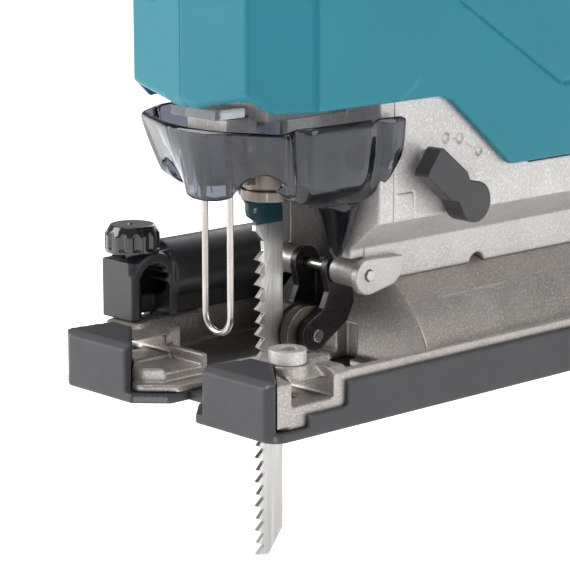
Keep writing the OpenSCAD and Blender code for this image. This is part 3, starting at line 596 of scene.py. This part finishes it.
rounded("clamp_ring", 0.16, 4)
rounded("blade_clamp", 0.16, 4)
rounded("roller_arm", 0.15, 5)
rounded("roller", 0.14, 5)
rounded("roller_pin", 0.1, 5)
rounded("pivot_pin", 0.1, 4)


toothSet = {"pitch": 3.0, "rootLift": 1.8, "lean": 0.42, "foot": -40.3, "top": 36.5, "bladeX": 67.25,
            "margin": 0.3, "edge": 0.06}


def makeBlade():
    shape = bmesh.new()
    shape.from_mesh(frame["nodes"]["blade"].data)
    bmesh.ops.remove_doubles(shape, verts=shape.verts, dist=0.002 * mm)
    root = (toothSet["bladeX"] + toothSet["rootLift"]) * mm
    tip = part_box("blade")[1].x
    for corner in shape.verts:
        if corner.co.x > root + toothSet["margin"] * mm and corner.co.z < toothSet["top"] * mm:
            tooth = round((corner.co.z / mm - toothSet["foot"]) / toothSet["pitch"])
            side = 1 if tooth % 2 else -1
            corner.co.y += side * toothSet["lean"] * mm * (corner.co.x - root) / (tip - root)
    piece = fromShape("sawBlade", shape)
    edge = piece.modifiers.new("edge", "BEVEL")
    edge.width, edge.segments, edge.limit_method = toothSet["edge"] * mm, 1, "ANGLE"
    bake(piece)
    dress(piece, "blade")
    piece.data.shade_flat()


makeBlade()
print("blade and roller guide made")


coverColumns = [  # rim x, y, z, then foot x, y, z and how far the wall bellies out before it tucks in
    (91.6, 0.0, 64.8, 89.4, 0.0, 47.8, 0.0),
    (91.3, 5.0, 64.8, 88.3, 4.6, 47.8, 0.0),
    (90.6, 9.5, 64.8, 85.6, 7.1, 48.2, 0.1),
    (89.6, 12.5, 64.8, 85.3, 9.6, 51.2, 0.1),
    (88.4, 16.0, 64.8, 84.8, 13.4, 54.2, 0.0),
    (87.0, 20.0, 64.9, 83.6, 17.6, 55.2, 0.0),
    (85.6, 23.4, 65.0, 81.6, 21.4, 53.6, 0.0),
    (84.5, 26.0, 65.3, 79.8, 23.2, 50.2, 0.1),
    (81.6, 24.8, 66.2, 76.6, 20.6, 47.4, 0.2),
    (78.6, 27.0, 66.5, 72.5, 20.2, 46.2, 0.5),
    (70.0, 27.2, 66.5, 66.0, 20.2, 45.9, 0.8),
    (60.8, 27.2, 66.5, 58.5, 20.2, 45.8, 0.8),
    (58.0, 26.5, 66.5, 55.4, 20.8, 46.2, 0.5),
    (53.2, 27.6, 66.5, 52.3, 24.0, 50.5, 0.7),
    (49.6, 27.4, 66.5, 49.8, 26.4, 57.0, 0.6),
]
coverShell = {"wall": 1.5, "fold": 0.6, "steep": 0.7, "rows": 7, "tuck": 2.2}


def coverWall(side):
    rows = coverShell["rows"]
    grid = []
    for rimX, rimY, rimZ, footX, footY, footZ, belly in coverColumns:
        column = []
        for i in range(rows + 1):
            down = i / rows
            inward = down ** (1 + coverShell["tuck"] * belly)
            column.append((rimX + (footX - rimX) * inward, side * (rimY + (footY - rimY) * inward),
                           rimZ + (footZ - rimZ) * down))
        grid.append(column)
    return grid


def gridShape(grid, flip):
    shape = bmesh.new()
    verts = [[shape.verts.new([c * mm for c in point]) for point in column] for column in grid]
    for a, b in zip(verts, verts[1:]):
        for i in range(len(a) - 1):
            quad = (a[i], b[i], b[i + 1], a[i + 1])
            shape.faces.new(tuple(reversed(quad)) if flip else quad)
    return shape


def spoutRing(z, x0, x1, y0, y1, side):
    bend = 0.28
    wide, deep = x1 - x0, y1 - y0
    plan = [(x0, y0 + bend * deep), (x0, y1 - bend * deep), (x0 + bend * wide, y1), (x1 - bend * wide, y1),
            (x1, y1 - bend * deep), (x1, y0 + bend * deep), (x1 - bend * wide, y0), (x0 + bend * wide, y0)]
    return [(x, side * y, z) for x, y in plan]


# a ring is z, x from and to, y from and to, and 1 where the far side's spout is cut shorter
spoutLook = {"wall": 1.1, "farCut": 3.4, "tip": 32.0, "rings": [
    (46.2, 53.6, 66.8, 10.9, 20.6, 1), (44.0, 54.4, 65.2, 10.9, 19.4, 1),
    (38.0, 55.0, 62.0, 10.9, 16.4, 1), (31.4, 55.2, 58.9, 11.0, 13.4, 0)]}


def weldMesh(piece, change=None):
    # merges the seams, turns the faces outwards and lets change work on the mesh in between
    weld = bmesh.new()
    weld.from_mesh(piece.data)
    bmesh.ops.remove_doubles(weld, verts=weld.verts, dist=0.01 * mm)
    if change:
        change(weld)
    bmesh.ops.recalc_face_normals(weld, faces=weld.faces)
    weld.to_mesh(piece.data)
    weld.free()


def foldUprights(weld):
    folds = weld.edges.layers.float.new("crease_edge")
    for edge in weld.edges:
        rise = edge.verts[1].co - edge.verts[0].co
        if abs(rise.z) > coverShell["steep"] * rise.length:
            edge[folds] = coverShell["fold"]


def closeTip(weld):
    tip = spoutLook["tip"] * mm
    edges = [e for e in weld.edges if e.is_boundary and all(v.co.z < tip for v in e.verts)]
    bmesh.ops.holes_fill(weld, edges=edges)


def thickened(piece, wall, levels, even):
    thick = piece.modifiers.new("thick", "SOLIDIFY")
    thick.thickness, thick.offset, thick.use_even_offset = wall * mm, -1, even
    finer = piece.modifiers.new("finer", "SUBSURF")
    finer.levels = finer.render_levels = levels
    bake(piece)


def makeSpout(side):
    look = spoutLook
    rings = [spoutRing(z, x0, x1 - (look["farCut"] * cut if side < 0 else 0), y0, y1, side)
             for z, x0, x1, y0, y1, cut in look["rings"]]
    grid = [[ring[k] for ring in rings] for k in list(range(8)) + [0]]
    spout = fromShape("coverSpout", gridShape(grid, side < 0))
    weldMesh(spout, closeTip)
    thickened(spout, look["wall"], 2, False)
    return spout


def makeDustCover():
    walls = [fromShape("coverWall", gridShape(coverWall(side), side > 0)) for side in (1, -1)]
    piece = joined("dustCover", walls)
    weldMesh(piece, foldUprights)
    thickened(piece, coverShell["wall"], 3, True)
    dress(joined("dustCover", [piece, makeSpout(1), makeSpout(-1)]), "dust_cover")


makeDustCover()
print("dust cover made")


shells = {"voxel": 0.5, "passes": 3, "handleFrom": 118, "handleTo": 136, "handlePasses": 46, "seam": 0.09}
sidePanel = {"low": 25.0, "high": 26.55, "outline": [
    (76.3, 70.0), (50.3, 70.0), (44.8, 73.8), (44.8, 112.5), (49.5, 117.0), (69, 117.0), (76.3, 111.0)]}
ventDepth = (23.4, 27)
bodyVents = {"first": -58, "count": 7, "step": 6.2, "width": 2.6, "low": 74, "high": 104, "lean": 7}
frontVents = {"first": -8, "count": 5, "step": 6.2, "width": 2.6, "low": 97, "high": 111, "lean": 4}
headCorner = [(93.0, 0.0, 69.6), (83.5, 24.3, 69.0), (91.3, 19.5, 74.0)]
cornerSlab = ((-60, -60, 0), (60, 60, 30))
grooveCut = {"width": 1.5, "from": 25.4, "to": 27}
bodyGrooves = [((-69, 69), (-6, 69)), ((-6, 69), (31, 92)), ((31, 92), (40, 117)), ((-69, 118), (40, 117))]


def cornerCutters():
    # a slab whose flat face takes the lower front corner off each side of the head
    cutters = []
    for side in (1, -1):
        a, b, c = [Vector((x, side * y, z)) * mm for x, y, z in headCorner]
        normal = (b - a).cross(c - a).normalized() * side
        slab = block(*cornerSlab)
        turn = normal.to_track_quat("Z", "Y").to_matrix().to_4x4()
        slab.data.transform(Matrix.Translation((a + b + c) / 3) @ turn)
        cutters.append(slab)
    return cutters


def ventCutters(vents):
    inner, outer = ventDepth
    cutters = []
    for i in range(vents["count"]):
        x = vents["first"] + i * vents["step"]
        slot = [(x, vents["low"]), (x + vents["width"], vents["low"]),
                (x + vents["width"] + vents["lean"], vents["high"]), (x + vents["lean"], vents["high"])]
        cutters += [prism(slot, "y", inner, outer), prism(slot, "y", -outer, -inner)]
    return cutters


def grooveCutters():
    look = grooveCut
    return [strip(start, end, look["width"], *sorted((side * look["from"], side * look["to"])))
            for start, end in bodyGrooves for side in (1, -1)]


def fusedBody():
    panels = [prism(sidePanel["outline"], "y", *sorted((side * sidePanel["low"], side * sidePanel["high"])))
              for side in (1, -1)]
    piece = joined("fusedBody", [cadCopy("halves", ["housing_left", "housing_right"]), *panels])
    carve(piece, cornerCutters() + ventCutters(bodyVents) + ventCutters(frontVents) + grooveCutters())
    skin = piece.modifiers.new("skin", "REMESH")
    skin.mode = "VOXEL"
    skin.voxel_size = shells["voxel"] * roughVoxels * mm
    bake(piece)
    softer = piece.vertex_groups.new(name="handle")
    span = shells["handleTo"] - shells["handleFrom"]
    weights = {}
    for corner in piece.data.vertices:
        height = (corner.co.z / mm - shells["handleFrom"]) / span
        step = round(max(0.0, min(1.0, height)), 1)
        weights.setdefault(step, []).append(corner.index)
    for step, members in weights.items():
        if step > 0:
            softer.add(members, step, "REPLACE")
    relax = piece.modifiers.new("relax", "SMOOTH")
    relax.factor, relax.iterations = 0.5, shells["passes"]
    melt = piece.modifiers.new("melt", "SMOOTH")
    melt.factor, melt.iterations, melt.vertex_group = 0.5, shells["handlePasses"], "handle"
    bake(piece)
    return piece


def halfOf(body, node, side):
    shape = bmesh.new()
    shape.from_mesh(body.data)
    cut = bmesh.ops.bisect_plane(shape, geom=shape.verts[:] + shape.edges[:] + shape.faces[:],
                                 plane_co=(0, side * shells["seam"] * mm, 0), plane_no=(0, -side, 0),
                                 clear_outer=True)
    rims = [e for e in cut["geom_cut"] if isinstance(e, bmesh.types.BMEdge)]
    bmesh.ops.triangle_fill(shape, edges=rims, use_beauty=True)
    piece = fromShape("shellLeft" if side > 0 else "shellRight", shape)
    return dress(piece, node)


def makeBody():
    body = fusedBody()
    halfOf(body, "housing_left", 1)
    halfOf(body, "housing_right", -1)
    bpy.data.objects.remove(body)


makeBody()
rounded("release_lever", 0.2, 4)
rounded("trigger", 0.25, 6)
rounded("lock_button", 0.2, 5)
rounded("speed_dial", 0.25, 4)
rounded("hex_key", 0.2, 4)
rounded("grip_overmould", 0.3, 5)
rounded("housing_screws", 0.16, 3)
print("body made")


batteryLook = {"back": -165.6, "front": -103.6, "half": 37.5, "low": 56.0, "high": 169.0, "corner": 2.8,
               "ribs": (70, 76, 82, 88), "rib": 2.6, "ribDepth": 1.3, "ribBack": 9, "ribFront": 18,
               "rearRibs": 25, "panel": (104, 150), "panelDepth": 0.9, "panelBack": 12, "panelFront": 22,
               "gauge": (140, 152), "gaugeHalf": 17}
gaugeStuds = {"level": 146, "studs": (-4, 1, 6, 11), "radius": 1.7, "inset": 0.3, "length": 3,
              "button": -11, "buttonRadius": 3.0, "buttonInset": 0.1}


def batteryEdges():
    # the corner pieces taken off the upright and the rear edges of the pack
    look = batteryLook
    c, back, half, low, high = (look[key] for key in ("corner", "back", "half", "low", "high"))
    cuts = []
    for side in (1, -1):
        cuts.append(prism([(back - 1, side * (half - c)), (back - 1, side * (half + 1)),
                           (back + c, side * (half + 1)), (back, side * (half - c))], "z", low - 1, high + 1))
    for level, up in ((high, 1), (low, -1)):
        wedge = [(back - 1, level - up * c), (back, level - up * c), (back + c, level),
                 (back + c, level + up), (back - 1, level + up)]
        cuts.append(prism(wedge, "y", -half - 1, half + 1))
    return cuts


def sideRecess(side, back, front, low, high, depth):
    look = batteryLook
    return block((look["back"] + back, side * look["half"] - depth, low),
                 (look["front"] - front, side * look["half"] + depth, high))


def rearRecess(half, low, high, depth):
    back = batteryLook["back"]
    return block((back - 1, -half, low), (back + depth, half, high))


def batteryGrooves():
    look = batteryLook
    cuts = []
    for level in look["ribs"]:
        top = level + look["rib"]
        cuts += [sideRecess(side, look["ribBack"], look["ribFront"], level, top, look["ribDepth"])
                 for side in (1, -1)]
        cuts.append(rearRecess(look["rearRibs"], level, top, look["ribDepth"]))
    cuts += [sideRecess(side, look["panelBack"], look["panelFront"], *look["panel"], look["panelDepth"])
             for side in (1, -1)]
    cuts.append(rearRecess(look["gaugeHalf"], *look["gauge"], look["panelDepth"]))
    return cuts


def batteryStuds():
    look = gaugeStuds
    back, level = batteryLook["back"], look["level"]
    studs = [rod((back + look["inset"], y, level), (back + look["length"], y, level), look["radius"])
             for y in look["studs"]]
    button = rod((back + look["buttonInset"], look["button"], level),
                 (back + look["length"], look["button"], level), look["buttonRadius"])
    return [*studs, button]


rounded("battery_cover", 0.4, 5)
rounded("battery_shell", 0.45, 5, add=batteryStuds(), cut=batteryEdges() + batteryGrooves())
rounded("battery_latch", 0.3, 5)
print("battery made")
